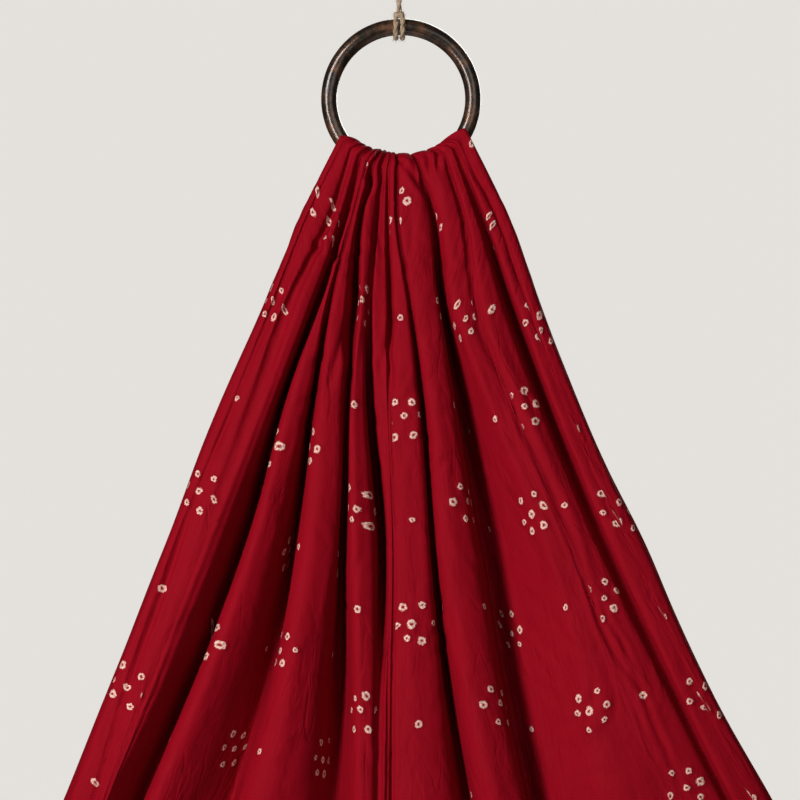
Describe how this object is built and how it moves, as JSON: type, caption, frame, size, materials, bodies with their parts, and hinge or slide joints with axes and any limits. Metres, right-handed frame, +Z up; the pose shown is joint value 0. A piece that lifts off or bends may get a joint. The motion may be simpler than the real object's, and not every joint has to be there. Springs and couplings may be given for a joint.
{
  "type": "bandhani cloth on a metal ring",
  "caption": "Tie-dyed bandhani cloth slung in gathered folds over a round metal ring, which hangs by a jute twine with a loop.",
  "frame": {"origin": "inner top of the twine's hanging loop, where a hook or nail carries it", "axes": "+Z up along the hanging line, +X to the right seen from the front, -Y towards the front"},
  "size_m": [0.4477, 0.0858, 0.6185],
  "materials": {
    "cloth": "soft matt dyed cotton with small pale tied dots",
    "ring": "aged dark brown bronze, rubbed bright in streaks",
    "twine": "hairy two-ply jute"
  },
  "bodies": {
    "root": {"cloth": "cloth", "ring": "ring", "twine_hitch": "twine", "twine_cord": "twine", "twine_knot": "twine", "twine_loop": "twine"}
  },
  "joints": []
}
